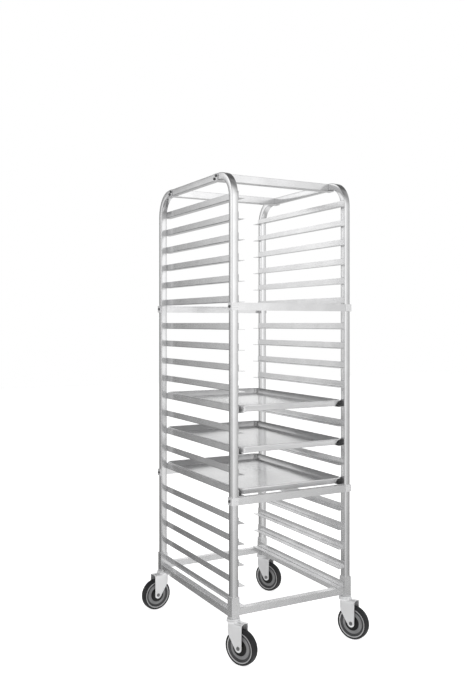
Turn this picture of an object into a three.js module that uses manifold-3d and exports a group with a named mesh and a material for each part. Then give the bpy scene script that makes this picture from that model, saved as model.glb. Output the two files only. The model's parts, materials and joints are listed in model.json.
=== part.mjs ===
// Sheet pan rack: an end-loading aluminium rack on four swivel casters, holding three sheet pans.
// Millimetres, +Z up. X runs across the rack, and the open loading side faces -Y.
// Inside this file the rack stands on z = 0 with its four uprights centred on the origin.
// The last lines move the whole group so that its box is centred, because the casters trail.

import * as THREE from 'three';
import { mergeVertices } from 'three/addons/utils/BufferGeometryUtils.js';
import Module from 'manifold-3d';

const wasm = await Module();
wasm.setup();

// ---- driving dimensions -------------------------------------------------------------------

const GAP = 0.3;                    // air left between pieces that touch

const RACK_WIDTH = 520.7;           // over the uprights, along X
const RACK_DEPTH = 660.4;           // over the uprights, along Y
const RACK_HEIGHT = 1776;

const TUBE = 25.4;                  // square tube of the uprights and rails
const TUBE_WALL = 1.6;
const HOOP_BEND = 100;              // outer radius of a hoop's two top bends
const BEND_STEPS = 10;

const RUNNER_PITCH = 75;
const BAY_STEP = 100;               // pitch across a mid crossbar
const BAY_LEVELS = [6, 9, 5];       // runners above, between and below the mid crossbars
const TOP_RUNNER = 1696;            // upper edge of the highest runner
const RUNNER_HEIGHT = 25;
const RUNNER_LEG = 27;              // level leg that carries a pan
const RUNNER_SHEET = 2;
const RUNNER_BEND_STEPS = 3;

const BAR_SHEET = 3;
const MID_BAR_HEIGHT = 28;
const MID_BAR_FLANGE = 20;
const MID_BAR_DROP = 2;             // below the runner legs above it
const TOP_BAR_WIDTH = 32;
const TOP_BAR_OFFSET = 205;         // from the middle of the rack, along Y

const SLEEVE = 31.75;
const SLEEVE_BOTTOM = 162;
const SLEEVE_TOP = 237;
const SLEEVE_FLOOR = 4;
const SIDE_RAIL_BOTTOM = 162;
const END_RAIL_BOTTOM = 170;
const DRAIN_RADIUS = 3;
const HOLE_FACETS = 16;

const WHEEL_RADIUS = 63.5;
const WHEEL_WIDTH = 32;
const WHEEL_FACETS = 32;
const TREAD_SHOULDER = 2.5;         // how far the tread's rounded edge drops
const HUB_RADIUS = 17;
const WEB_RADII = [20, 38];         // the dished web between hub and rim
const WEB_DEPTH = 6;
const RIM_RADIUS = 42;
const TYRE_DEPTH = 9;
const BORE_RADIUS = 5.3;
const AXLE_RADIUS = 5;
const CASTER_TRAIL = 35;
const FORK_SHEET = 3;
const FORK_INSIDE = 36;
const CROWN_TOP = 148;
const FORK_SHOULDER = 116;          // where the sloped front edge of a leg starts
const CROWN_FRONT = -15;            // ahead of the swivel axis
const FORK_TIP_RADIUS = 14;
const RACEWAY_RADIUS = 25.5;
const RACEWAY_CHAMFERS = [3, 5];    // below and above
const RACEWAY_FACETS = 28;
const STEM_RADIUS = 6;
const STEM_TOP = 205;
const STEM_CHAMFER = 2;

const PAN_WIDTH = 457;
const PAN_LENGTH = 660;
const PAN_HEIGHT = 25.4;
const PAN_SHEET = 1;
const PAN_RIM = 6;
const PAN_RIM_DEPTH = 5;
const PAN_FOOT = 3;                 // chamfer between the floor and a wall
const PAN_TAPER = 6;                // how far a wall leans out between its foot and the rim
const PAN_CORNER = 28;
const PAN_CORNER_STEPS = 5;
const PAN_LEVELS = [11, 13, 15];

// ---- values worked out from them ----------------------------------------------------------

const uprightX = (RACK_WIDTH - TUBE) / 2;
const uprightY = (RACK_DEPTH - TUBE) / 2;
const innerFace = uprightX - TUBE / 2;
const frontFace = RACK_DEPTH / 2;
const LEVELS = BAY_LEVELS.reduce((sum, count) => sum + count, 0);
const runnerTops = listRunnerTops();

function listRunnerTops() {
  const tops = [];
  let z = TOP_RUNNER;
  for (const count of BAY_LEVELS) {
    for (let i = 0; i < count; i += 1) tops.push(z - i * RUNNER_PITCH);
    z -= (count - 1) * RUNNER_PITCH + BAY_STEP;
  }
  return tops;
}

// ---- materials ----------------------------------------------------------------------------

const MATERIALS = {
  aluminium: new THREE.MeshStandardMaterial({ color: 0xc9cacb, roughness: 0.35, metalness: 1 }),
  runner: new THREE.MeshStandardMaterial({ color: 0xb9bbbc, roughness: 0.4, metalness: 1 }),
  pan: new THREE.MeshStandardMaterial({ color: 0xd2d4d6, roughness: 0.25, metalness: 1 }),
  zinc: new THREE.MeshStandardMaterial({ color: 0xe2e3e4, roughness: 0.3, metalness: 1 }),
  wheel: new THREE.MeshStandardMaterial({ color: 0x4a4a4b, roughness: 0.7, metalness: 0 }),
};

// ---- making and joining solids ------------------------------------------------------------

function toSolid(geometry) {
  const bare = geometry.clone();
  bare.deleteAttribute('normal');
  bare.deleteAttribute('uv');
  const merged = mergeVertices(bare, 1e-4);
  const vertProperties = new Float32Array(merged.attributes.position.array);
  const triVerts = new Uint32Array(merged.index.array);
  return new wasm.Manifold(new wasm.Mesh({ numProp: 3, vertProperties, triVerts }));
}

function toGeometry(solid) {
  const { vertProperties, triVerts } = solid.getMesh();
  const geometry = new THREE.BufferGeometry();
  geometry.setAttribute('position', new THREE.BufferAttribute(new Float32Array(vertProperties), 3));
  geometry.setIndex(new THREE.BufferAttribute(new Uint32Array(triVerts), 1));
  geometry.computeVertexNormals();
  return geometry;
}

function join(solids) {
  return solids.reduce((whole, solid) => whole.add(solid));
}

// A box given by its two opposite corners.
function box(x0, x1, y0, y1, z0, z1) {
  const geometry = new THREE.BoxGeometry(x1 - x0, y1 - y0, z1 - z0);
  geometry.translate((x0 + x1) / 2, (y0 + y1) / 2, (z0 + z1) / 2);
  return toSolid(geometry);
}

// An outline in (y, z) pushed along X from x0 to x1.
function pushX(shape, x0, x1, curveSegments) {
  const geometry = new THREE.ExtrudeGeometry(shape, { depth: x1 - x0, bevelEnabled: false, curveSegments });
  const turn = new THREE.Matrix4().makeBasis(
    new THREE.Vector3(0, 1, 0), new THREE.Vector3(0, 0, 1), new THREE.Vector3(1, 0, 0));
  geometry.applyMatrix4(turn);
  geometry.translate(x0, 0, 0);
  return toSolid(geometry);
}

// An outline in (x, z) pushed along Y from y0 to y1.
function pushY(shape, y0, y1, curveSegments) {
  const geometry = new THREE.ExtrudeGeometry(shape, { depth: y1 - y0, bevelEnabled: false, curveSegments });
  const turn = new THREE.Matrix4().makeBasis(
    new THREE.Vector3(1, 0, 0), new THREE.Vector3(0, 0, 1), new THREE.Vector3(0, -1, 0));
  geometry.applyMatrix4(turn);
  geometry.translate(0, y1, 0);
  return toSolid(geometry);
}

function lyingCylinder(radius, x, z, y0, y1, segments) {
  const geometry = new THREE.CylinderGeometry(radius, radius, y1 - y0, segments);
  geometry.translate(x, (y0 + y1) / 2, z);
  return toSolid(geometry);
}

function standingCylinder(radius, x, y, z0, z1, segments) {
  const geometry = new THREE.CylinderGeometry(radius, radius, z1 - z0, segments);
  geometry.rotateX(Math.PI / 2);
  geometry.translate(x, y, (z0 + z1) / 2);
  return toSolid(geometry);
}

// A profile of [radius, z] pairs spun about the Z axis.
function spinZ(profile, segments) {
  const points = profile.map(([radius, z]) => new THREE.Vector2(radius, z));
  const geometry = new THREE.LatheGeometry(points, segments);
  geometry.rotateX(Math.PI / 2);
  return toSolid(geometry);
}

function makeMesh(name, solid, material) {
  const mesh = new THREE.Mesh(toGeometry(solid), MATERIALS[material]);
  mesh.name = name;
  return mesh;
}

// ---- hoop: one tube bent into an upside-down U --------------------------------------------

// The U's outline in (y, z), drawn inset from the tube's own surface.
function hoopOutline(inset, foot) {
  const outer = frontFace - inset;
  const inner = frontFace - TUBE + inset;
  const top = RACK_HEIGHT - inset;
  const under = RACK_HEIGHT - TUBE + inset;
  const bendY = frontFace - HOOP_BEND;
  const bendZ = RACK_HEIGHT - HOOP_BEND;
  const shape = new THREE.Shape();
  shape.moveTo(outer, foot);
  shape.lineTo(outer, bendZ);
  shape.absarc(bendY, bendZ, outer - bendY, 0, Math.PI / 2, false);
  shape.lineTo(-bendY, top);
  shape.absarc(-bendY, bendZ, outer - bendY, Math.PI / 2, Math.PI, false);
  shape.lineTo(-outer, foot);
  shape.lineTo(-inner, foot);
  shape.lineTo(-inner, bendZ);
  shape.absarc(-bendY, bendZ, inner - bendY, Math.PI, Math.PI / 2, true);
  shape.lineTo(bendY, under);
  shape.absarc(bendY, bendZ, inner - bendY, Math.PI / 2, 0, true);
  shape.closePath();
  return shape;
}

function hoopSolid(side) {
  const x = side * uprightX;
  const half = TUBE / 2;
  const core = half - TUBE_WALL;
  const foot = SLEEVE_BOTTOM + SLEEVE_FLOOR + GAP;
  const outside = pushX(hoopOutline(0, foot), x - half, x + half, BEND_STEPS);
  const hollow = pushX(hoopOutline(TUBE_WALL, foot - TUBE), x - core, x + core, BEND_STEPS);
  return outside.subtract(hollow);
}

// ---- runner: an angle with its level leg at the bottom, pointing into the rack ------------

function runnerSolid(side, level) {
  const top = runnerTops[level];
  const bottom = top - RUNNER_HEIGHT;
  const againstSleeve = bottom < SLEEVE_TOP;
  const outer = againstSleeve ? uprightX - SLEEVE / 2 - GAP : innerFace - GAP;
  const bend = RUNNER_SHEET + 1;
  const shape = new THREE.Shape();
  shape.moveTo(side * outer, top);
  shape.lineTo(side * outer, bottom + bend);
  const clockwise = side > 0;
  const start = clockwise ? 0 : Math.PI;
  shape.absarc(side * (outer - bend), bottom + bend, bend, start, -Math.PI / 2, clockwise);
  shape.lineTo(side * (outer - RUNNER_LEG), bottom);
  shape.lineTo(side * (outer - RUNNER_LEG), bottom + RUNNER_SHEET);
  shape.lineTo(side * (outer - bend), bottom + RUNNER_SHEET);
  shape.lineTo(side * (outer - RUNNER_SHEET), bottom + bend);
  shape.lineTo(side * (outer - RUNNER_SHEET), top);
  shape.closePath();
  return pushY(shape, -frontFace, frontFace, RUNNER_BEND_STEPS);
}

// ---- crossbars ----------------------------------------------------------------------------

// An angle bar across the two uprights of one end, wrapped round onto their outer sides.
// end is -1 at the front and 1 at the rear.
function midBarSolid(end, level) {
  const top = runnerTops[level] - RUNNER_HEIGHT - MID_BAR_DROP;
  const bottom = top - MID_BAR_HEIGHT;
  const near = frontFace + GAP;
  const far = near + BAR_SHEET;
  const reach = RACK_WIDTH / 2 + GAP;
  const spanY = (a, b) => (end > 0 ? [a, b] : [-b, -a]);
  const between = innerFace - GAP;
  const solids = [
    box(-reach - BAR_SHEET, reach + BAR_SHEET, ...spanY(near, far), bottom, top),
    box(-between, between, ...spanY(far - MID_BAR_FLANGE, far), top - BAR_SHEET, top),
  ];
  for (const side of [-1, 1]) {
    const wrap = side > 0 ? [reach, reach + BAR_SHEET] : [-reach - BAR_SHEET, -reach];
    solids.push(box(...wrap, ...spanY(frontFace - TUBE, far), bottom, top));
  }
  return join(solids);
}

// A flat tube between the hoops whose lower wall runs on under each hoop and up its outer side.
function topBarSolid(end) {
  const middle = end * TOP_BAR_OFFSET;
  const y0 = middle - TOP_BAR_WIDTH / 2;
  const y1 = middle + TOP_BAR_WIDTH / 2;
  const bottom = RACK_HEIGHT - TUBE - GAP - BAR_SHEET;
  const reach = RACK_WIDTH / 2 + GAP;
  const between = innerFace - GAP;
  const tube = box(-between, between, y0, y1, bottom, RACK_HEIGHT);
  const hollow = box(-between - 1, between + 1, y0 + BAR_SHEET, y1 - BAR_SHEET,
    bottom + BAR_SHEET, RACK_HEIGHT - BAR_SHEET);
  const strap = box(-reach - BAR_SHEET, reach + BAR_SHEET, y0, y1, bottom, bottom + BAR_SHEET);
  const ears = [-1, 1].map((side) => {
    const across = side > 0 ? [reach, reach + BAR_SHEET] : [-reach - BAR_SHEET, -reach];
    return box(...across, y0, y1, bottom, RACK_HEIGHT);
  });
  return join([tube.subtract(hollow), strap, ...ears]);
}

// ---- base frame: four sleeves that hold the uprights, and four rails between them ---------

function baseFrameSolid() {
  const half = TUBE / 2;
  const bore = half + GAP;
  const inside = half - TUBE_WALL;
  const solids = [];
  const cavities = [];
  for (const side of [-1, 1]) {
    const x = side * uprightX;
    const y = side * uprightY;
    solids.push(box(x - half, x + half, -uprightY, uprightY, SIDE_RAIL_BOTTOM, SIDE_RAIL_BOTTOM + TUBE));
    solids.push(box(-uprightX, uprightX, y - half, y + half, END_RAIL_BOTTOM, END_RAIL_BOTTOM + TUBE));
    const sideMiddle = SIDE_RAIL_BOTTOM + half;
    const endMiddle = END_RAIL_BOTTOM + half;
    cavities.push(box(x - inside, x + inside, -uprightY + SLEEVE / 2, uprightY - SLEEVE / 2,
      sideMiddle - inside, sideMiddle + inside));
    cavities.push(box(-uprightX + SLEEVE / 2, uprightX - SLEEVE / 2, y - inside, y + inside,
      endMiddle - inside, endMiddle + inside));
    cavities.push(drain(x, 0, SIDE_RAIL_BOTTOM));
    cavities.push(drain(0, y, END_RAIL_BOTTOM));
    for (const end of [-1, 1]) {
      const cornerY = end * uprightY;
      solids.push(box(x - SLEEVE / 2, x + SLEEVE / 2, cornerY - SLEEVE / 2, cornerY + SLEEVE / 2,
        SLEEVE_BOTTOM, SLEEVE_TOP));
      cavities.push(box(x - bore, x + bore, cornerY - bore, cornerY + bore,
        SLEEVE_BOTTOM + SLEEVE_FLOOR, SLEEVE_TOP + 1));
      cavities.push(stemHole(x, cornerY));
    }
  }
  return join(solids).subtract(join(cavities));
}

function drain(x, y, bottom) {
  return standingCylinder(DRAIN_RADIUS, x, y, bottom - 1, bottom + TUBE / 2, HOLE_FACETS);
}

function stemHole(x, y) {
  return standingCylinder(STEM_RADIUS + GAP, x, y, SLEEVE_BOTTOM - 1, SLEEVE_BOTTOM + SLEEVE_FLOOR + 1,
    HOLE_FACETS);
}

// ---- caster: drawn about its swivel axis, with the wheel trailing along +X ----------------

// One leg in (x, z): upright along its trailing edge, sloped in front, round about the axle.
function forkLeg() {
  const shape = new THREE.Shape();
  shape.moveTo(CROWN_FRONT, CROWN_TOP);
  shape.lineTo(CROWN_FRONT, FORK_SHOULDER);
  const dx = CASTER_TRAIL - CROWN_FRONT;
  const dz = FORK_SHOULDER - WHEEL_RADIUS;
  const slope = Math.atan2(dz, -dx) + Math.acos(FORK_TIP_RADIUS / Math.hypot(dx, dz));
  shape.absarc(CASTER_TRAIL, WHEEL_RADIUS, FORK_TIP_RADIUS, slope, Math.PI * 2, false);
  shape.lineTo(CASTER_TRAIL + FORK_TIP_RADIUS, CROWN_TOP);
  shape.closePath();
  return shape;
}

function forkSolid() {
  const inside = FORK_INSIDE / 2;
  const outside = inside + FORK_SHEET;
  const crownEnd = CASTER_TRAIL + FORK_TIP_RADIUS;
  const ringBottom = CROWN_TOP - GAP;
  const ringTop = SLEEVE_BOTTOM - GAP;
  const [below, above] = RACEWAY_CHAMFERS;
  const raceway = spinZ([
    [0, ringBottom], [RACEWAY_RADIUS - below, ringBottom], [RACEWAY_RADIUS, ringBottom + below],
    [RACEWAY_RADIUS, ringTop - above], [RACEWAY_RADIUS - above, ringTop], [STEM_RADIUS, ringTop],
    [STEM_RADIUS, STEM_TOP - STEM_CHAMFER], [STEM_RADIUS - STEM_CHAMFER, STEM_TOP], [0, STEM_TOP],
  ], RACEWAY_FACETS);
  const crownBottom = CROWN_TOP - FORK_SHEET;
  return join([
    box(CROWN_FRONT, crownEnd, -outside, outside, crownBottom, CROWN_TOP),
    standingCylinder(RACEWAY_RADIUS - below, 0, 0, crownBottom, CROWN_TOP, RACEWAY_FACETS),
    pushY(forkLeg(), inside, outside, BEND_STEPS),
    pushY(forkLeg(), -outside, -inside, BEND_STEPS),
    lyingCylinder(AXLE_RADIUS, CASTER_TRAIL, WHEEL_RADIUS, -inside - 1, inside + 1, HOLE_FACETS),
    raceway,
  ]);
}

// The wheel, spun about its own axle, which lies along Y. A flat of the tread faces straight down.
function wheelSolid() {
  const half = WHEEL_WIDTH / 2;
  const tread = WHEEL_RADIUS / Math.cos(Math.PI / WHEEL_FACETS);
  const [webStart, webEnd] = WEB_RADII;
  const profile = [
    [BORE_RADIUS, half], [HUB_RADIUS, half], [webStart, half - WEB_DEPTH], [webEnd, half - WEB_DEPTH],
    [RIM_RADIUS, half - TREAD_SHOULDER], [tread - TYRE_DEPTH, half - 1],
    [tread - TREAD_SHOULDER, half - 2 * TREAD_SHOULDER], [tread, half - TYRE_DEPTH],
  ];
  const lower = profile.map(([radius, side]) => [radius, -side]);
  const closed = [...lower, ...profile.reverse(), lower[0]];
  const points = closed.map(([radius, side]) => new THREE.Vector2(radius, side));
  return toSolid(new THREE.LatheGeometry(points, WHEEL_FACETS, Math.PI / WHEEL_FACETS));
}

const CASTERS = [
  { name: 'front_left', side: -1, end: -1, heading: -65 },
  { name: 'front_right', side: 1, end: -1, heading: -65 },
  { name: 'rear_left', side: -1, end: 1, heading: -173 },
  { name: 'rear_right', side: 1, end: 1, heading: -65 },
];

// ---- sheet pan: a loft through rounded rectangles -----------------------------------------

function panLoop(inset, z) {
  const halfX = PAN_WIDTH / 2 - inset;
  const halfY = PAN_LENGTH / 2 - inset;
  const radius = PAN_CORNER - inset * 0.5;
  const points = [];
  const corners = [[1, 1], [-1, 1], [-1, -1], [1, -1]];
  corners.forEach(([sx, sy], corner) => {
    for (let i = 0; i <= PAN_CORNER_STEPS; i += 1) {
      const angle = (corner + i / PAN_CORNER_STEPS) * (Math.PI / 2);
      points.push([
        sx * (halfX - radius) + radius * Math.cos(angle),
        sy * (halfY - radius) + radius * Math.sin(angle),
        z,
      ]);
    }
  });
  return points;
}

function panSolid() {
  const foot = PAN_RIM + PAN_TAPER;
  const underRim = PAN_HEIGHT - PAN_RIM_DEPTH;
  const loops = [
    panLoop(foot + PAN_FOOT, 0),
    panLoop(foot, PAN_FOOT),
    panLoop(PAN_RIM, underRim),
    panLoop(0, underRim),
    panLoop(0, PAN_HEIGHT),
    panLoop(PAN_RIM + PAN_SHEET, PAN_HEIGHT),
    panLoop(foot + PAN_SHEET, PAN_FOOT + PAN_SHEET),
    panLoop(foot + PAN_FOOT + PAN_SHEET, PAN_SHEET),
  ];
  const count = loops[0].length;
  const index = [];
  for (let row = 0; row + 1 < loops.length; row += 1) {
    for (let i = 0; i < count; i += 1) {
      const a = row * count + i;
      const b = row * count + (i + 1) % count;
      index.push(a, b, b + count, a, b + count, a + count);
    }
  }
  const last = (loops.length - 1) * count;
  for (let i = 1; i + 1 < count; i += 1) {
    index.push(0, i + 1, i);
    index.push(last, last + i, last + i + 1);
  }
  const geometry = new THREE.BufferGeometry();
  geometry.setAttribute('position', new THREE.Float32BufferAttribute(loops.flat(2), 3));
  geometry.setIndex(index);
  return toSolid(geometry);
}

// ---- assembly -----------------------------------------------------------------------------

function addHoops(group) {
  group.add(makeMesh('hoop_left', hoopSolid(-1), 'aluminium'));
  group.add(makeMesh('hoop_right', hoopSolid(1), 'aluminium'));
}

function addRunners(group) {
  for (const [label, side] of [['left', -1], ['right', 1]]) {
    for (let level = 0; level < LEVELS; level += 1) {
      const name = `runner_${label}_${String(level + 1).padStart(2, '0')}`;
      group.add(makeMesh(name, runnerSolid(side, level), 'runner'));
    }
  }
}

function addCrossbars(group) {
  const upperLevel = BAY_LEVELS[0] - 1;
  const lowerLevel = BAY_LEVELS[0] + BAY_LEVELS[1] - 1;
  for (const [label, end] of [['front', -1], ['rear', 1]]) {
    group.add(makeMesh(`top_bar_${label}`, topBarSolid(end), 'aluminium'));
    group.add(makeMesh(`upper_bar_${label}`, midBarSolid(end, upperLevel), 'aluminium'));
    group.add(makeMesh(`lower_bar_${label}`, midBarSolid(end, lowerLevel), 'aluminium'));
  }
}

function addCasters(group) {
  for (const { name, side, end, heading } of CASTERS) {
    const caster = new THREE.Group();
    caster.position.set(side * uprightX, end * uprightY, 0);
    caster.rotation.z = THREE.MathUtils.degToRad(heading);
    caster.add(makeMesh(`caster_fork_${name}`, forkSolid(), 'zinc'));
    const wheel = makeMesh(`caster_wheel_${name}`, wheelSolid(), 'wheel');
    wheel.position.set(CASTER_TRAIL, 0, WHEEL_RADIUS);
    caster.add(wheel);
    group.add(caster);
  }
}

function addPans(group) {
  for (const number of PAN_LEVELS) {
    const pan = makeMesh(`pan_${number}`, panSolid(), 'pan');
    const ledge = runnerTops[number - 1] - RUNNER_HEIGHT + RUNNER_SHEET;
    pan.position.z = ledge + GAP;
    group.add(pan);
  }
}

const rack = new THREE.Group();
addHoops(rack);
addRunners(rack);
addCrossbars(rack);
rack.add(makeMesh('base_frame', baseFrameSolid(), 'aluminium'));
addCasters(rack);
addPans(rack);

rack.updateMatrixWorld(true);
const reach = new THREE.Box3().setFromObject(rack, true);
rack.position.set(-(reach.min.x + reach.max.x) / 2, -(reach.min.y + reach.max.y) / 2, -reach.min.z);

export default rack;
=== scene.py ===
"""Sheet pan rack: the looks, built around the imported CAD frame. Metres, +Z up, loading side faces -Y."""

import json
import math

import bpy
from mathutils import Matrix, Vector


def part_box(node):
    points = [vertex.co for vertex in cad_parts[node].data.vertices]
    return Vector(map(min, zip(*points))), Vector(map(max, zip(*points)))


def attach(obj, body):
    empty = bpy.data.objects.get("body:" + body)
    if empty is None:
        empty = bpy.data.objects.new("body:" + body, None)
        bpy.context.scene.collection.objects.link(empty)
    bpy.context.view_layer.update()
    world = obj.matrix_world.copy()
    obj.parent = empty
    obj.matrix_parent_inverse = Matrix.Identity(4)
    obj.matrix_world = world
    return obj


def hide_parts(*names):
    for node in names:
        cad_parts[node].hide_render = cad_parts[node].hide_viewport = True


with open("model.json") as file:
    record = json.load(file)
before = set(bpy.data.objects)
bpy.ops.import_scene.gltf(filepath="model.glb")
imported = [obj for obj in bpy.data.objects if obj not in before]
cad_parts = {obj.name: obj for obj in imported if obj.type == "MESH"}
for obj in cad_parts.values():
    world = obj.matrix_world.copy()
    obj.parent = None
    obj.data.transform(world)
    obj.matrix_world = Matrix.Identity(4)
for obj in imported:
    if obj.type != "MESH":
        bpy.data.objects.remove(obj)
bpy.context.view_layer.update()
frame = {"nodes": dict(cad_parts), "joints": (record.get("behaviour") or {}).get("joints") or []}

MM = 0.001
NODES = frame["nodes"]
JOINTS = {joint["name"]: joint for joint in frame["joints"]}
CASTERS = ("front_left", "front_right", "rear_left", "rear_right")
PANS = [name for name in sorted(NODES) if name.startswith("pan_")]
RUNNERS = [name for name in sorted(NODES) if name.startswith("runner_")]
MID_BARS = ("upper_bar", "lower_bar")

# ---- driving dimensions -------------------------------------------------------------------

TUBE = 25.4 * MM
TUBE_CORNER = 1.5 * MM
HOOP_BEND = 100 * MM                # outer radius
BEND_STEPS = 16
STRAIGHT_STEPS = 9

FORK_HALF = 21 * MM                 # from the middle of the fork to the outside of a leg
FORK_FRONT = -15 * MM               # ahead of the swivel axis
FORK_TIP = 14 * MM                  # radius round the axle
FORK_SHOULDER = 116 * MM            # where the lower edge starts to slope
FORK_CORNER = 9 * MM
FORK_FOLD = 5 * MM
FORK_SHEET = 2.8 * MM
CROWN_TOP = 148 * MM
LEG_COLUMNS = 26
LEG_ROWS = (0, 0.12, 0.4, 0.7, 1.0)     # share of the way up a leg
FOLD_ANGLES = (30, 60, 90)

WASHER_SHEET = 1.2 * MM
AXLE_WASHER = 7.2 * MM
AXLE_HEAD = (10 * MM, 3.6 * MM)     # across flats, height
AXLE_SHANK = 4.6 * MM
AXLE_CORE = 0.5 * MM                # radius of the hole down the middle of the shank
AXLE_GAP = 0.05 * MM                # between a washer and the fork
BAR_HEAD = (8 * MM, 3.4 * MM)
TOP_BOLT_WASHER = 5.6 * MM
TOP_BOLT_OFFSET = (6.5 * MM, 5 * MM)
MID_BOLT_WASHER = 5.5 * MM

CLIP_SHEET = 1.0 * MM
CLIP_TAB = 27 * MM
CLIP_MARGIN = 0.6 * MM              # bar left bare above and below a clip
CLIP_SHORTFALL = 1.5 * MM           # how far a clip stops short of the end of the wrap

PAN_BEAD = 2.6 * MM                 # radius of the rolled rim
PAN_SHEET = 1.0 * MM
PAN_CORNER = 26 * MM
PAN_TAPER = 9 * MM
PAN_FOOT = 6 * MM

WELD_RADIUS = 1.3 * MM
WELD_REACH = 0.36                   # half a weld's length, as a share of the tube's width
WELD_LUMPS = 7
WELD_RISE = 0.6 * MM                # of the lower bead above the runner's underside

RUNNER_BEVEL = 0.4 * MM
BAR_BEVEL = 0.8 * MM
FORK_BEVEL = 0.5 * MM
MERGE_DISTANCE = 0.01 * MM

# Points round a full turn of each kind of turned piece.
WHEEL_POINTS = 72
GUARD_POINTS = 56
RACE_POINTS = 48
WASHER_POINTS = 28
BOLT_POINTS = 20
WELD_POINTS = 10

# Half profiles as (radius, height) in millimetres. Heights are from the wheel's middle plane.
TYRE_SIDE = ((54.0, 13.4), (55.5, 14.6), (57.5, 15.4), (59.5, 15.0), (61.4, 13.2), (62.6, 10.8))
# The tread with its shallow grooves, as (depth below the tread, height).
TREAD = ((0.3, 8.0), (0, 5.6), (0.9, 5.2), (0.9, 4.4), (0, 4.0), (0, 0.6), (0.9, 0.3))
TYRE_SEAT = (53.0, 13.0)
LINE_RING = ((50.6, 12.2), (51.4, 13.6), (53.6, 14.2), (54.6, 13.2))
GROOVE_RING = ((41.2, 8.4), (43.0, 7.6), (48.6, 9.8), (50.7, 12.4))
FACE_RING = ((20.0, 11.0), (27.0, 10.6), (34.0, 10.2), (39.6, 10.0), (41.4, 8.4))
# Whole profiles: the axle bolt's thread end from its base, and one thread guard.
THREAD_PROFILE = ((0.4, 0), (3, 0), (3, 5.6), (2.4, 6.2), (0.4, 6.2))
GUARD_PROFILE = ((5.2, 8.0), (28.4, 8.0), (29.0, 11.8), (27.6, 13.2), (24.5, 12.6), (18.0, 12.2),
                 (14.0, 13.4), (12.6, 16.6), (11.0, 17.4), (5.2, 17.4))
# The swivel head, as (radius, height above the floor): lower race, seam, upper race, stem.
RACEWAY_PROFILE = ((0.5, 145.5), (22, 145.5), (24.2, 147.2), (25.4, 149.2), (25.5, 152), (24.8, 153.6),
                   (23, 154.2), (21.8, 154.8), (21.8, 155.6), (23.6, 156), (24.6, 157), (24.6, 158.6),
                   (23.4, 160.2), (20.5, 161.2), (13, 161.6), (6, 161.6), (6, 198), (4.5, 200), (0.5, 200))

# ---- studio -------------------------------------------------------------------------------

FLOOR_HALF = 12.0
FLOOR_TONE = 0.93
FLOOR_GLOW = 0.8

# Brightness that a reflection sees around the studio, as (degrees clockwise from +Y, brightness).
AROUND = ((-180, 0.60), (-110, 0.60), (-60, 0.50), (-46, 0.80), (-38, 1.04), (-32, 1.08), (-28, 0.60),
          (-23, 0.14), (-8, 0.34), (10, 0.78), (24, 0.86), (40, 0.86), (60, 0.86), (95, 0.75),
          (128, 0.44), (141, 0.62), (148, 0.98), (157, 1.38), (166, 1.15), (180, 0.60))
# The same by degrees above the horizon: on the rack's +Y side, and on its -Y side.
ABOVE_FAR = ((-90, 1.0), (-45, 1.0), (-34, 0.80), (-24, 0.42), (-16, 0.44), (-10, 0.60), (-5, 0.78),
             (0, 0.92), (6, 1.20), (13, 1.30), (20, 1.0), (32, 0.18), (60, 0.12), (90, 0.3))
ABOVE_NEAR = ((-90, 1.0), (-45, 1.0), (-32, 0.80), (-22, 0.52), (-18, 0.52), (-10, 0.74), (-3, 0.90),
              (4, 0.98), (12, 1.04), (28, 0.85), (60, 0.4), (90, 0.3))
BRIGHTEST = 1.4                     # top of the colour ramps that hold these curves
SIDE_BLEND = 0.1                    # half the width of the band where the two sides mix

# Lamps as (name, position from the rack's middle, target height, diameter, watts).
LAMPS = (
    ("overhead", (-0.3, -0.8, 4.2), 0.9, 2.6, 80),
    ("fill", (-1.5, -3.2, 1.6), 0.6, 2.0, 8),
)

CAMERA_PLACE = (-1.6128, -2.8283, 1.2190)   # from the rack's middle on the floor
CAMERA_TURN = -28.53                # degrees about Z
CAMERA_LENS = 40.85
CAMERA_SENSOR = 36
CAMERA_SHIFT = -0.0379              # the camera is level, so it is shifted and not tilted


# ---- mesh helpers -------------------------------------------------------------------------

def finish_piece(name, verts, faces, material, body, smooth_degrees=35, uvs=None):
    """Makes a named object that rides on a CAD body and takes its finish from a material slot."""
    mesh = bpy.data.meshes.new(name)
    mesh.from_pydata([tuple(v) for v in verts], [], faces)
    mesh.validate()
    mesh.shade_smooth()
    mesh.set_sharp_from_angle(angle=math.radians(smooth_degrees))
    if uvs:
        layer = mesh.uv_layers.new(name="UVMap")
        for loop in mesh.loops:
            layer.data[loop.index].uv = uvs[loop.vertex_index]
    mesh.materials.append(material)
    piece = bpy.data.objects.new(name, mesh)
    bpy.context.scene.collection.objects.link(piece)
    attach(piece, body)
    return piece


def loft(loops, close_ends=True, close_round=False):
    """Verts and faces through equal closed loops; close_round joins the last loop to the first."""
    count = len(loops[0])
    verts = [point for loop in loops for point in loop]
    faces = []
    rows = len(loops) if close_round else len(loops) - 1
    for row in range(rows):
        below = row * count
        above = (row + 1) % len(loops) * count
        for i in range(count):
            j = (i + 1) % count
            faces.append((below + i, below + j, above + j, above + i))
    if close_ends and not close_round:
        faces.append(tuple(reversed(range(count))))
        last = (len(loops) - 1) * count
        faces.append(tuple(last + i for i in range(count)))
    return verts, faces


def lathe(profile, segments, place, closed=True):
    """Spins (radius, height) pairs about the local Z axis, then moves the result by place."""
    loops = []
    for radius, height in profile:
        loop = []
        for i in range(segments):
            angle = 2 * math.pi * i / segments
            point = Vector((radius * math.cos(angle), radius * math.sin(angle), height))
            loop.append(place @ point)
        loops.append(loop)
    return loft(loops, close_ends=not closed, close_round=closed)


def merge(parts):
    """One list of verts and faces from several."""
    verts, faces = [], []
    for part_verts, part_faces in parts:
        start = len(verts)
        verts.extend(part_verts)
        faces.extend(tuple(start + i for i in face) for face in part_faces)
    return verts, faces


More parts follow.
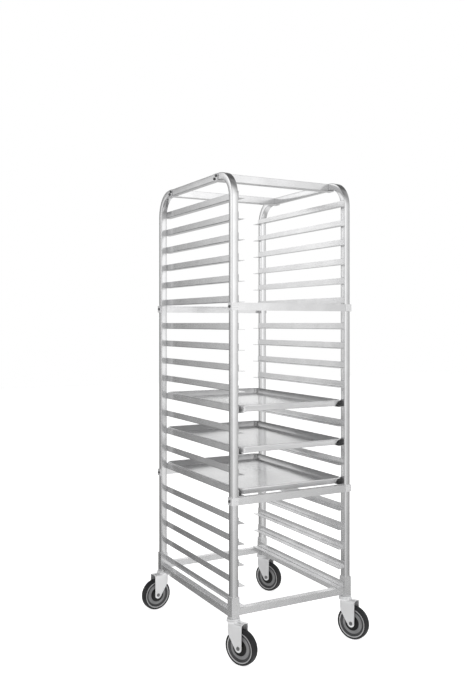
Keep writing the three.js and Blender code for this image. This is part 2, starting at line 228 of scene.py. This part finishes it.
def arc(centre, radius, start, end, steps):
    """Points of a flat arc, angles in degrees."""
    points = []
    for i in range(steps + 1):
        angle = math.radians(start + (end - start) * i / steps)
        points.append((centre[0] + radius * math.cos(angle), centre[1] + radius * math.sin(angle)))
    return points


def rounded_rect(width, height, radius, steps):
    """A closed rounded rectangle about the origin, counter-clockwise."""
    x, y = width / 2 - radius, height / 2 - radius
    points = []
    for corner, (cx, cy) in enumerate(((x, y), (-x, y), (-x, -y), (x, -y))):
        points += arc((cx, cy), radius, corner * 90, corner * 90 + 90, steps)
    return points


def aim(origin, direction):
    """A matrix whose local Z runs along direction, with local X as near to upright as it can be."""
    up = Vector((0, 0, 1))
    z = Vector(direction).normalized()
    x = up - z * up.dot(z)
    x = x.normalized() if x.length > 1e-6 else Vector((1, 0, 0))
    turn = Matrix((x, z.cross(x), z)).transposed().to_4x4()
    return Matrix.Translation(origin) @ turn


def in_metres(profile):
    return [(radius * MM, height * MM) for radius, height in profile]


def mirrored(half):
    """A closed profile from the half of it that lies above the middle plane."""
    return list(half) + [(radius, -height) for radius, height in reversed(half)]


# ---- materials ----------------------------------------------------------------------------

BUMP_HEIGHT = 0.2 * MM
GRAIN_SCALE = 900                   # noise scales: fine grain and slow clouds
CLOUD_SCALE = 14
ZINC_CLOUD_SCALE = 25
MOULD_GRAIN_SCALE = 1320
MOULD_CLOUD_SCALE = 30
MOULD_BUMP = 0.2


def new_material(name):
    material = bpy.data.materials.new(name)
    material.use_nodes = True
    nodes = material.node_tree.nodes
    return material, nodes, material.node_tree.links, nodes["Principled BSDF"]


def add_noise(nodes, links, coordinates, scale, stretch=(1, 1, 1), detail=4):
    mapping = nodes.new("ShaderNodeMapping")
    mapping.inputs["Scale"].default_value = stretch
    links.new(coordinates, mapping.inputs["Vector"])
    noise = nodes.new("ShaderNodeTexNoise")
    noise.inputs["Scale"].default_value = scale
    noise.inputs["Detail"].default_value = detail
    links.new(mapping.outputs["Vector"], noise.inputs["Vector"])
    return noise.outputs["Fac"]


def remap(nodes, links, value, low, high, from_low=0.3, from_high=0.7):
    spread = nodes.new("ShaderNodeMapRange")
    spread.inputs["From Min"].default_value = from_low
    spread.inputs["From Max"].default_value = from_high
    spread.inputs["To Min"].default_value = low
    spread.inputs["To Max"].default_value = high
    links.new(value, spread.inputs["Value"])
    return spread.outputs["Result"]


def blend_colours(nodes, links, value, dark, light):
    mix = nodes.new("ShaderNodeMix")
    mix.data_type = "RGBA"
    mix.inputs["A"].default_value = (*dark, 1)
    mix.inputs["B"].default_value = (*light, 1)
    links.new(value, mix.inputs["Factor"])
    return mix.outputs["Result"]


def add_bump(nodes, links, shader, height, strength):
    bump = nodes.new("ShaderNodeBump")
    bump.inputs["Strength"].default_value = strength
    bump.inputs["Distance"].default_value = BUMP_HEIGHT
    links.new(height, bump.inputs["Height"])
    links.new(bump.outputs["Normal"], shader.inputs["Normal"])


# How the fine grain is stretched: along one axis, in a level plane, or along a tube's own length.
GRAIN = {"x": (0.02, 1, 1), "y": (1, 0.02, 1), "xy": (0.02, 0.02, 1), "uv": (0.02, 1, 1)}


def grey(value, blue=0.005):
    """A grey that leans slightly to blue."""
    return value, value, value + blue


def satin_metal(name, dark, light, grain, rough=(0.17, 0.25), bump=0.02, anisotropy=0.0,
                metallic=1.0):
    """Drawn or rolled metal: fine lines along the grain, slow cloudy patches across it."""
    material, nodes, links, shader = new_material(name)
    source = nodes.new("ShaderNodeTexCoord").outputs["UV" if grain == "uv" else "Object"]
    lines = add_noise(nodes, links, source, GRAIN_SCALE, GRAIN[grain], 6)
    cloud = add_noise(nodes, links, source, CLOUD_SCALE, detail=3)
    colour = blend_colours(nodes, links, remap(nodes, links, cloud, 0, 1), dark, light)
    links.new(colour, shader.inputs["Base Color"])
    links.new(remap(nodes, links, lines, *rough), shader.inputs["Roughness"])
    add_bump(nodes, links, shader, lines, bump)
    shader.inputs["Metallic"].default_value = metallic
    shader.inputs["Anisotropic"].default_value = anisotropy
    return material


def bright_zinc():
    """Zinc plate: pale and even, with the faintest slow change of tone."""
    material, nodes, links, shader = new_material("bright_zinc")
    source = nodes.new("ShaderNodeTexCoord").outputs["Object"]
    cloud = add_noise(nodes, links, source, ZINC_CLOUD_SCALE, detail=2)
    shade = remap(nodes, links, cloud, 0, 1)
    links.new(blend_colours(nodes, links, shade, grey(0.96), grey(0.975)), shader.inputs["Base Color"])
    links.new(remap(nodes, links, cloud, 0.275, 0.29), shader.inputs["Roughness"])
    shader.inputs["Metallic"].default_value = 0.55
    return material


def moulded(name, dark, light, rough):
    """Rubber or plastic: matt, with a fine moulded texture and slow tone changes."""
    material, nodes, links, shader = new_material(name)
    source = nodes.new("ShaderNodeTexCoord").outputs["Object"]
    cloud = add_noise(nodes, links, source, MOULD_CLOUD_SCALE)
    fine = add_noise(nodes, links, source, MOULD_GRAIN_SCALE, detail=3)
    colour = blend_colours(nodes, links, remap(nodes, links, cloud, 0, 1), dark, light)
    links.new(colour, shader.inputs["Base Color"])
    links.new(remap(nodes, links, cloud, *rough), shader.inputs["Roughness"])
    add_bump(nodes, links, shader, fine, MOULD_BUMP)
    return material


TUBE_METAL = satin_metal("tube_metal", grey(0.80), grey(0.88), "uv", (0.16, 0.26), bump=0.04,
                         anisotropy=0.3)
BAR_METAL = satin_metal("bar_metal", grey(0.78), grey(0.86), "x", metallic=0.97)
BASE_METAL = satin_metal("base_metal", grey(0.80), grey(0.88), "xy", metallic=0.93)
RUNNER_METAL = satin_metal("runner_metal", grey(0.76), grey(0.84), "y", metallic=0.96)
PAN_METAL = satin_metal("pan_metal", grey(0.76), grey(0.83), "y", (0.14, 0.24), bump=0.03,
                        metallic=0.62)
WELD_METAL = satin_metal("weld_metal", grey(0.72, 0.01), grey(0.92, 0.01), "y", (0.25, 0.45), bump=0.2)
ZINC = bright_zinc()
TYRE = moulded("tyre_rubber", grey(0.010, 0.001), grey(0.020, 0.002), (0.42, 0.58))
CORE = moulded("core_polymer", grey(0.17, 0.004), grey(0.24, 0.004), (0.35, 0.5))
CORE_DARK = moulded("core_groove", grey(0.045, 0.002), grey(0.07, 0.003), (0.4, 0.55))
CORE_LINE = moulded("core_line", grey(0.42), grey(0.52), (0.3, 0.45))
# Dark grey steel for the crossbar bolts. On the top bars this dark is also painted shade: it stands in for
# the shade of the bolts sitting in their slots.
DARK_STEEL_AND_SHADE = satin_metal("dark_steel_and_painted_shade", grey(0.16), grey(0.26), "x", (0.3, 0.45))
# The axle bolts are real bolts, but their mid grey is painted shade: it stands in for the dark ring of
# shade round the axle at each fork's tip.
AXLE_BOLT_PAINTED_SHADE = satin_metal("axle_bolt_painted_shade", grey(0.34), grey(0.46), "x", (0.25, 0.4))
CLIP_METAL = satin_metal("clip_metal", grey(0.80), grey(0.86), "x", (0.26, 0.34), metallic=0.7)
GUARD = moulded("thread_guard", grey(0.004, 0), grey(0.008, 0), (0.35, 0.5))


# ---- carried-over CAD nodes: rounded edges and a finish -----------------------------------

def add_edge(piece, width):
    """Rounds a piece's sharp edges."""
    edge = piece.modifiers.new("edge", "BEVEL")
    edge.width = width
    edge.segments = 2
    edge.limit_method = "ANGLE"
    edge.angle_limit = math.radians(50)


def dress(node, material, bevel):
    piece = NODES[node]
    piece.data.materials.clear()
    piece.data.materials.append(material)
    weld = piece.modifiers.new("weld", "WELD")
    weld.merge_threshold = MERGE_DISTANCE
    add_edge(piece, bevel)


def dress_frame():
    for name in RUNNERS:
        dress(name, RUNNER_METAL, RUNNER_BEVEL)
    for name in NODES:
        if "_bar_" in name:
            dress(name, BAR_METAL, BAR_BEVEL)
    dress("base_frame", BASE_METAL, BAR_BEVEL)


# ---- hoops --------------------------------------------------------------------------------

def hoop_path(reach, bottom, straight_end, radius):
    """The middle of the tube as (y, z, outward y, outward z): up one side, over and down the other."""
    rise = straight_end - bottom
    path = [(reach, bottom + rise * i / STRAIGHT_STEPS, 1, 0) for i in range(STRAIGHT_STEPS)]
    for y, z in arc((reach - radius, straight_end), radius, 0, 90, BEND_STEPS):
        path.append((y, z, (y - reach + radius) / radius, (z - straight_end) / radius))
    return path + [(-y, z, -out_y, out_z) for y, z, out_y, out_z in reversed(path)]


def build_hoop(node):
    """A square tube with rounded corners, swept along an upside-down U."""
    low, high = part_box(node)
    x = (low.x + high.x) / 2
    centre_y = (low.y + high.y) / 2
    half = TUBE / 2
    radius = HOOP_BEND - half
    path = hoop_path((high.y - low.y) / 2 - half, low.z, high.z - half - radius, radius)
    section = rounded_rect(TUBE, TUBE, TUBE_CORNER, 4)
    around = [0.0]
    for before, after in zip(section, section[1:]):
        around.append(around[-1] + math.dist(before, after))
    section.reverse()
    around.reverse()
    loops, uvs = [], []
    along = 0.0
    last = path[0][:2]
    for y, z, out_y, out_z in path:
        along += math.dist((y, z), last)
        last = (y, z)
        loops.append([Vector((x + across, centre_y + y + out * out_y, z + out * out_z))
                      for across, out in section])
        uvs += [(along, distance) for distance in around]
    verts, faces = loft(loops)
    piece = finish_piece(node + "_tube", verts, faces, TUBE_METAL, "rack", uvs=uvs)
    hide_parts(node)


# ---- bolts --------------------------------------------------------------------------------

def hexagon_loop(radius, height, place):
    loop = []
    for i in range(6):
        angle = math.radians(60 * i)
        loop.append(place @ Vector((radius * math.cos(angle), radius * math.sin(angle), height)))
    return loop


def hex_head(place, across, height):
    """A hexagon nut or bolt head with a chamfered crown, standing on the local XY plane."""
    radius = across / math.sqrt(3)
    return loft([
        hexagon_loop(radius, 0, place),
        hexagon_loop(radius, height * 0.8, place),
        hexagon_loop(radius * 0.86, height, place),
    ])


def domed_washer(place, radius, height):
    bore = radius * 0.3
    profile = [(radius, 0), (radius, height * 0.6), (radius * 0.94, height), (bore, height), (bore, 0)]
    return lathe(profile, WASHER_POINTS, place)


def bolt_at(centre, side, washer, head):
    """A washer and a hexagon head on an upright's outer side; side is -1 at the left and 1 at the right."""
    out = Vector((side, 0, 0))
    return [domed_washer(aim(centre, out), washer, WASHER_SHEET),
            hex_head(aim(centre + out * WASHER_SHEET, out), *head)]


# ---- casters ------------------------------------------------------------------------------

def caster_place(name):
    """One caster's local frame, its trail and its axle height.

    The frame's origin is on the floor under the swivel axis, X points to the wheel, and Y lies
    along the axle."""
    swivel = Vector(JOINTS["swivel_" + name]["pos_m"])
    axle = Vector(JOINTS["roll_" + name]["pos_m"])
    trail = Vector((axle.x - swivel.x, axle.y - swivel.y, 0))
    x = trail.normalized()
    z = Vector((0, 0, 1))
    turn = Matrix((x, z.cross(x), z)).transposed().to_4x4()
    return Matrix.Translation((swivel.x, swivel.y, 0)) @ turn, trail.length, axle.z


def leg_bottom(t, trail, axle_z):
    """Height of the fork leg's lower edge at distance t behind the swivel axis."""
    dx, dz = trail - FORK_FRONT, FORK_SHOULDER - axle_z
    tangent = math.atan2(dz, -dx) + math.acos(FORK_TIP / math.hypot(dx, dz))
    tangent_t = trail + FORK_TIP * math.cos(tangent)
    tangent_z = axle_z + FORK_TIP * math.sin(tangent)
    if t < tangent_t:
        share = (t - FORK_FRONT) / (tangent_t - FORK_FRONT)
        return FORK_SHOULDER + (tangent_z - FORK_SHOULDER) * share
    return axle_z - math.sqrt(max(FORK_TIP ** 2 - (t - trail) ** 2, 0.0))


def fork_plan(back):
    """The fork from above as (t, y, outward t, outward y): one leg, the front apron, the other leg."""
    plan = []
    run = back - FORK_FRONT - FORK_CORNER
    for i in range(LEG_COLUMNS + 1):
        share = 1 - math.cos(math.pi / 2 * i / LEG_COLUMNS)
        plan.append((back - run * share, -FORK_HALF, 0, -1))
    for out_t, out_y in arc((0, 0), 1, 270, 180, 6)[1:]:
        plan.append((FORK_FRONT + FORK_CORNER * (1 + out_t), -FORK_HALF + FORK_CORNER * (1 + out_y),
                     out_t, out_y))
    other_leg = [(t, -y, out_t, -out_y) for t, y, out_t, out_y in reversed(plan)]
    return plan + [(FORK_FRONT, 0, -1, 0)] + other_leg


def build_yoke(name, place, trail, axle_z):
    """The pressed fork: two legs and a front apron bent down from one crown."""
    plan = fork_plan(trail + FORK_TIP)
    bend_start = CROWN_TOP - FORK_FOLD
    verts = []
    for t, y, out_t, out_y in plan:
        low = leg_bottom(t, trail, axle_z)
        for share in LEG_ROWS:
            verts.append(place @ Vector((t, y, low + (bend_start - low) * share)))
        for angle in FOLD_ANGLES:
            inset = FORK_FOLD * (1 - math.cos(math.radians(angle)))
            lift = FORK_FOLD * math.sin(math.radians(angle))
            verts.append(place @ Vector((t - out_t * inset, y - out_y * inset, bend_start + lift)))
    height = len(LEG_ROWS) + len(FOLD_ANGLES)
    faces = []
    for column in range(len(plan) - 1):
        for row in range(height - 1):
            a = column * height + row
            faces.append((a, a + 1, a + height + 1, a + height))
    faces.append(tuple(column * height + height - 1 for column in range(len(plan))))
    yoke = finish_piece(f"fork_yoke_{name}", verts, faces, ZINC, "fork_" + name, smooth_degrees=40)
    solid = yoke.modifiers.new("sheet", "SOLIDIFY")
    solid.thickness = FORK_SHEET
    solid.offset = -1
    solid.use_even_offset = True
    add_edge(yoke, FORK_BEVEL)
    return yoke


def build_raceway(name, place):
    """The swivel head: two pressed races with the seam between them, and the stem above."""
    verts, faces = lathe(in_metres(RACEWAY_PROFILE), RACE_POINTS, place)
    finish_piece(f"raceway_{name}", verts, faces, ZINC, "fork_" + name, smooth_degrees=50)


def build_axle(name, place, trail, axle_z):
    """The axle bolt: a washer, a hexagon and a thread end on each side, and the shank across the fork."""
    parts = []
    outside = FORK_HALF + AXLE_GAP
    turn = place.to_3x3()
    for side in (-1, 1):
        base = place @ Vector((trail, side * outside, axle_z))
        out = (turn @ Vector((0, side, 0))).normalized()
        parts.append(domed_washer(aim(base, out), AXLE_WASHER, WASHER_SHEET))
        parts.append(hex_head(aim(base + out * WASHER_SHEET, out), *AXLE_HEAD))
        parts.append(lathe(in_metres(THREAD_PROFILE), BOLT_POINTS, aim(base, out)))
    start = place @ Vector((trail, -outside, axle_z))
    across = (turn @ Vector((0, 1, 0))).normalized()
    length = 2 * outside
    shank = [(AXLE_CORE, 0), (AXLE_SHANK, 0), (AXLE_SHANK, length), (AXLE_CORE, length)]
    parts.append(lathe(shank, BOLT_POINTS, aim(start, across)))
    verts, faces = merge(parts)
    # Painted shade: the bolt gets a mid grey for the shade round the axle at the fork's tip.
    finish_piece(f"axle_bolt_{name}", verts, faces, AXLE_BOLT_PAINTED_SHADE, "fork_" + name,
                 smooth_degrees=30)


def build_wheel(name, place, trail, axle_z):
    """The wheel: the tyre, three rings of the core and two thread guards."""
    centre = place @ Vector((trail, 0, axle_z))
    across = (place.to_3x3() @ Vector((0, 1, 0))).normalized()
    at = aim(centre, across)
    body = "wheel_" + name
    seat_radius, seat_half = TYRE_SEAT
    tread = [(axle_z / MM - depth, height) for depth, height in TREAD]
    outline = mirrored([*TYRE_SIDE, *tread]) + [(seat_radius, -seat_half), (seat_radius, seat_half)]
    verts, faces = lathe(in_metres(outline), WHEEL_POINTS, at)
    finish_piece(f"tyre_{name}", verts, faces, TYRE, body, smooth_degrees=40)
    for label, material, half in (
        ("core_line", CORE_LINE, LINE_RING),
        ("core_groove", CORE_DARK, GROOVE_RING),
        ("core_face", CORE, FACE_RING),
    ):
        verts, faces = lathe(in_metres(mirrored(half)), WHEEL_POINTS, at)
        finish_piece(f"{label}_{name}", verts, faces, material, body, smooth_degrees=40)
    for side, label in ((-1, "inner"), (1, "outer")):
        verts, faces = lathe(in_metres(GUARD_PROFILE), GUARD_POINTS, aim(centre, across * side))
        finish_piece(f"thread_guard_{label}_{name}", verts, faces, GUARD, body)


def build_caster(name):
    place, trail, axle_z = caster_place(name)
    yoke = build_yoke(name, place, trail, axle_z)
    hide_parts("caster_fork_" + name)
    build_raceway(name, place)
    build_axle(name, place, trail, axle_z)
    build_wheel(name, place, trail, axle_z)
    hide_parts("caster_wheel_" + name)


# ---- sheet pans ---------------------------------------------------------------------------

def pan_profile(height):
    """Half the pan's section as (inset, z): up the outside, over the rolled rim and down the inside."""
    rim_z = height - PAN_BEAD
    rim_inset = PAN_BEAD * 2
    wall = []
    for degrees in (0, 20, 40, 60, 80):
        angle = math.radians(degrees)
        wall.append((PAN_TAPER + rim_inset + PAN_FOOT * (1 - math.sin(angle)),
                     PAN_FOOT * (1 - math.cos(angle))))
    wall.append((rim_inset + 1.5 * MM, rim_z - PAN_BEAD * 0.2 - 3 * MM))
    bead = []
    for degrees in (-150, -110, -70, -35, 0, 35, 70, 100, 130, 155):
        angle = math.radians(degrees)
        bead.append((PAN_BEAD - PAN_BEAD * math.cos(angle), rim_z + PAN_BEAD * math.sin(angle)))
    inside = [(inset + PAN_SHEET, z + PAN_SHEET) for inset, z in reversed(wall)]
    return wall + bead + inside


def build_pan(node):
    """A pressed pan: flat bottom, rounded foot, leaning walls and a rim rolled over a wire."""
    low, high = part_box(node)
    centre = (low + high) / 2
    loops = []
    for inset, z in pan_profile(high.z - low.z):
        radius = max(PAN_CORNER - inset * 0.6, 4 * MM)
        flat = rounded_rect(high.x - low.x - 2 * inset, high.y - low.y - 2 * inset, radius, 8)
        loops.append([Vector((centre.x + x, centre.y + y, low.z + z)) for x, y in flat])
    verts, faces = loft(loops)
    pan = finish_piece(node + "_sheet", verts, faces, PAN_METAL, node, smooth_degrees=32)
    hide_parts(node)


# ---- bolts, clips and welds on the frame --------------------------------------------------

def bar_ends(prefix):
    """The middle of each wrapped end of the crossbars whose names start with prefix, and its side."""
    for name in sorted(NODES):
        if name.startswith(prefix):
            low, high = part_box(name)
            y, z = (low.y + high.y) / 2, (low.z + high.z) / 2
            yield Vector((low.x, y, z)), -1
            yield Vector((high.x, y, z)), 1


def build_bar_bolts():
    """Two bolts on each end of the top bars, and one on each end of the others."""
    top_parts, mid_parts = [], []
    across, down = TOP_BOLT_OFFSET
    for centre, side in bar_ends("top_bar"):
        for lean in (-1, 1):
            spot = centre + Vector((0, lean * across, -lean * down))
            top_parts += bolt_at(spot, side, TOP_BOLT_WASHER, BAR_HEAD)
    for prefix in MID_BARS:
        for centre, side in bar_ends(prefix):
            spot = centre + Vector((side * CLIP_SHEET, 0, 0))
            mid_parts += bolt_at(spot, side, MID_BOLT_WASHER, BAR_HEAD)
    for name, parts in (("top_bar_bolts", top_parts), ("mid_bar_bolts", mid_parts)):
        verts, faces = merge(parts)
        # The bolts' dark grey is dark steel, and on the top bars also painted shade for the bolts sitting
        # in their slots.
        finish_piece(name, verts, faces, DARK_STEEL_AND_SHADE, "rack", smooth_degrees=30)


def clip_loop(path, z):
    """The clip's outline at one height: along path, and back along it one sheet further out."""
    outer = [Vector((x + out_x * CLIP_SHEET, y + out_y * CLIP_SHEET, z)) for x, y, out_x, out_y in path]
    inner = [Vector((x, y, z)) for x, y, _, _ in reversed(path)]
    return outer + inner


def build_bar_clips():
    """A bright folded plate over each corner where a mid crossbar wraps round an upright."""
    parts = []
    for name in sorted(NODES):
        if not name.startswith(MID_BARS):
            continue
        low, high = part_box(name)
        end = -1 if high.y < 0 else 1
        face_y = low.y if end < 0 else high.y
        wrap_end = face_y - end * (high.y - low.y - CLIP_SHORTFALL)
        for x, side in ((low.x, -1), (high.x, 1)):
            path = [(x - side * CLIP_TAB, face_y, 0, end), (x, face_y, side, end), (x, wrap_end, side, 0)]
            loops = [clip_loop(path, z) for z in (low.z + CLIP_MARGIN, high.z - CLIP_MARGIN)]
            if side * end > 0:
                loops = [list(reversed(loop)) for loop in loops]
            parts.append(loft(loops))
    verts, faces = merge(parts)
    finish_piece("mid_bar_clips", verts, faces, CLIP_METAL, "rack",
                 smooth_degrees=30)


def weld_bead(start, end):
    """A short lumpy bead of weld between two points."""
    start, end = Vector(start), Vector(end)
    length = (end - start).length
    tip = 0.15 * WELD_RADIUS
    profile = [(tip, 0)]
    steps = WELD_LUMPS * 4
    for i in range(steps + 1):
        share = i / steps
        fade = math.sqrt(max(1 - (2 * share - 1) ** 4, 0.02))
        ripple = 1 + 0.12 * math.cos(2 * math.pi * WELD_LUMPS * share)
        profile.append((WELD_RADIUS * fade * ripple, length * (0.02 + 0.96 * share)))
    profile.append((tip, length))
    return lathe(profile, WELD_POINTS, aim(start, end - start), closed=False)


def build_runner_welds():
    """Beads along the top and bottom of each runner where it crosses an upright."""
    hoop_low, hoop_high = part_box("hoop_left")
    tube = hoop_high.x - hoop_low.x
    half = tube * WELD_REACH
    parts = []
    for name in RUNNERS:
        low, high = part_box(name)
        wall_x = low.x if name.startswith("runner_left") else high.x
        for y in (hoop_low.y + tube * 0.5, hoop_high.y - tube * 0.5):
            for z in (high.z, low.z + WELD_RISE):
                parts.append(weld_bead((wall_x, y - half, z), (wall_x, y + half, z)))
    verts, faces = merge(parts)
    finish_piece("runner_welds", verts, faces, WELD_METAL, "rack", smooth_degrees=60)


# ---- floor, light and camera --------------------------------------------------------------

def build_floor():
    """A pale floor that lights the rack but is left out of its reflections."""
    mesh = bpy.data.meshes.new("floor")
    corners = ((-1, -1), (1, -1), (1, 1), (-1, 1))
    mesh.from_pydata([(x * FLOOR_HALF, y * FLOOR_HALF, 0) for x, y in corners], [], [(0, 1, 2, 3)])
    material, _, _, shader = new_material("pale_floor")
    shader.inputs["Base Color"].default_value = (FLOOR_TONE, FLOOR_TONE, FLOOR_TONE, 1)
    shader.inputs["Roughness"].default_value = 0.9
    shader.inputs["Emission Color"].default_value = (1, 1, 1, 1)
    shader.inputs["Emission Strength"].default_value = FLOOR_GLOW
    mesh.materials.append(material)
    floor = bpy.data.objects.new("floor", mesh)
    bpy.context.scene.collection.objects.link(floor)
    floor.visible_glossy = False


def ramp_of(nodes, links, value, stops):
    """An eased curve through (position, brightness) stops, as a colour ramp whose white is BRIGHTEST."""
    low, high = stops[0][0], stops[-1][0]
    ramp = nodes.new("ShaderNodeValToRGB")
    ramp.color_ramp.interpolation = "EASE"
    elements = ramp.color_ramp.elements
    while len(elements) > 1:
        elements.remove(elements[-1])
    for index, (position, brightness) in enumerate(stops):
        share = (position - low) / (high - low)
        element = elements[0] if index == 0 else elements.new(share)
        element.position = share
        element.color = (brightness / BRIGHTEST,) * 3 + (1,)
    links.new(remap(nodes, links, value, 0, 1, low, high), ramp.inputs["Fac"])
    return ramp.outputs["Color"]


def math_node(nodes, links, operation, first, second=0):
    node = nodes.new("ShaderNodeMath")
    node.operation = operation
    for socket, value in zip(node.inputs, (first, second)):
        if isinstance(value, (int, float)):
            socket.default_value = value
        else:
            links.new(value, socket)
    return node.outputs["Value"]


def build_world():
    """White behind the object; for reflections, the bright and grey parts of a product studio."""
    world = bpy.data.worlds.new("studio")
    bpy.context.scene.world = world
    world.use_nodes = True
    nodes, links = world.node_tree.nodes, world.node_tree.links
    split = nodes.new("ShaderNodeSeparateXYZ")
    links.new(nodes.new("ShaderNodeTexCoord").outputs["Generated"], split.inputs["Vector"])
    turn = math_node(nodes, links, "ARCTAN2", split.outputs["X"], split.outputs["Y"])
    lift = math_node(nodes, links, "ARCSINE", split.outputs["Z"])
    lift = math_node(nodes, links, "DEGREES", lift)
    around = ramp_of(nodes, links, math_node(nodes, links, "DEGREES", turn), AROUND)
    above = nodes.new("ShaderNodeMix")
    above.data_type = "RGBA"
    side = remap(nodes, links, split.outputs["Y"], 0, 1, -SIDE_BLEND, SIDE_BLEND)
    links.new(side, above.inputs["Factor"])
    links.new(ramp_of(nodes, links, lift, ABOVE_NEAR), above.inputs["A"])
    links.new(ramp_of(nodes, links, lift, ABOVE_FAR), above.inputs["B"])
    strength = math_node(nodes, links, "MULTIPLY", around, above.outputs["Result"])
    strength = math_node(nodes, links, "MULTIPLY", strength, BRIGHTEST ** 2)
    choose = nodes.new("ShaderNodeMix")
    choose.data_type = "FLOAT"
    links.new(nodes.new("ShaderNodeLightPath").outputs["Is Camera Ray"], choose.inputs["Factor"])
    links.new(strength, choose.inputs["A"])
    choose.inputs["B"].default_value = 1.0
    background = nodes["Background"]
    background.inputs["Color"].default_value = (1, 1, 1, 1)
    links.new(choose.outputs["Result"], background.inputs["Strength"])


def build_lights(centre):
    """Soft lamps that light matt surfaces and are left out of reflections."""
    for name, offset, target_height, size, power in LAMPS:
        light = bpy.data.lights.new(name, "AREA")
        light.shape = "DISK"
        light.size = size
        light.energy = power
        lamp = bpy.data.objects.new(name, light)
        lamp.location = centre + Vector(offset)
        target = centre + Vector((0, 0, target_height))
        lamp.rotation_euler = (target - lamp.location).to_track_quat("-Z", "Y").to_euler()
        lamp.visible_glossy = False
        bpy.context.scene.collection.objects.link(lamp)


def build_camera(centre):
    camera = bpy.data.cameras.new("camera")
    camera.sensor_width = CAMERA_SENSOR
    camera.lens = CAMERA_LENS
    camera.shift_y = CAMERA_SHIFT
    rig = bpy.data.objects.new("camera", camera)
    rig.location = centre + Vector(CAMERA_PLACE)
    rig.rotation_euler = (math.radians(90), 0, math.radians(CAMERA_TURN))
    bpy.context.scene.collection.objects.link(rig)
    bpy.context.scene.camera = rig


def rack_centre():
    """The middle of the uprights, on the floor."""
    left_low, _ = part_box("hoop_left")
    _, right_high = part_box("hoop_right")
    return Vector(((left_low.x + right_high.x) / 2, (left_low.y + right_high.y) / 2, 0))


dress_frame()
for hoop in ("hoop_left", "hoop_right"):
    build_hoop(hoop)
for caster in CASTERS:
    build_caster(caster)
for pan_node in PANS:
    build_pan(pan_node)
build_bar_clips()
build_bar_bolts()
build_runner_welds()

CENTRE = rack_centre()
build_floor()
build_world()
build_lights(CENTRE)
build_camera(CENTRE)
bpy.context.scene.view_settings.view_transform = "Standard"
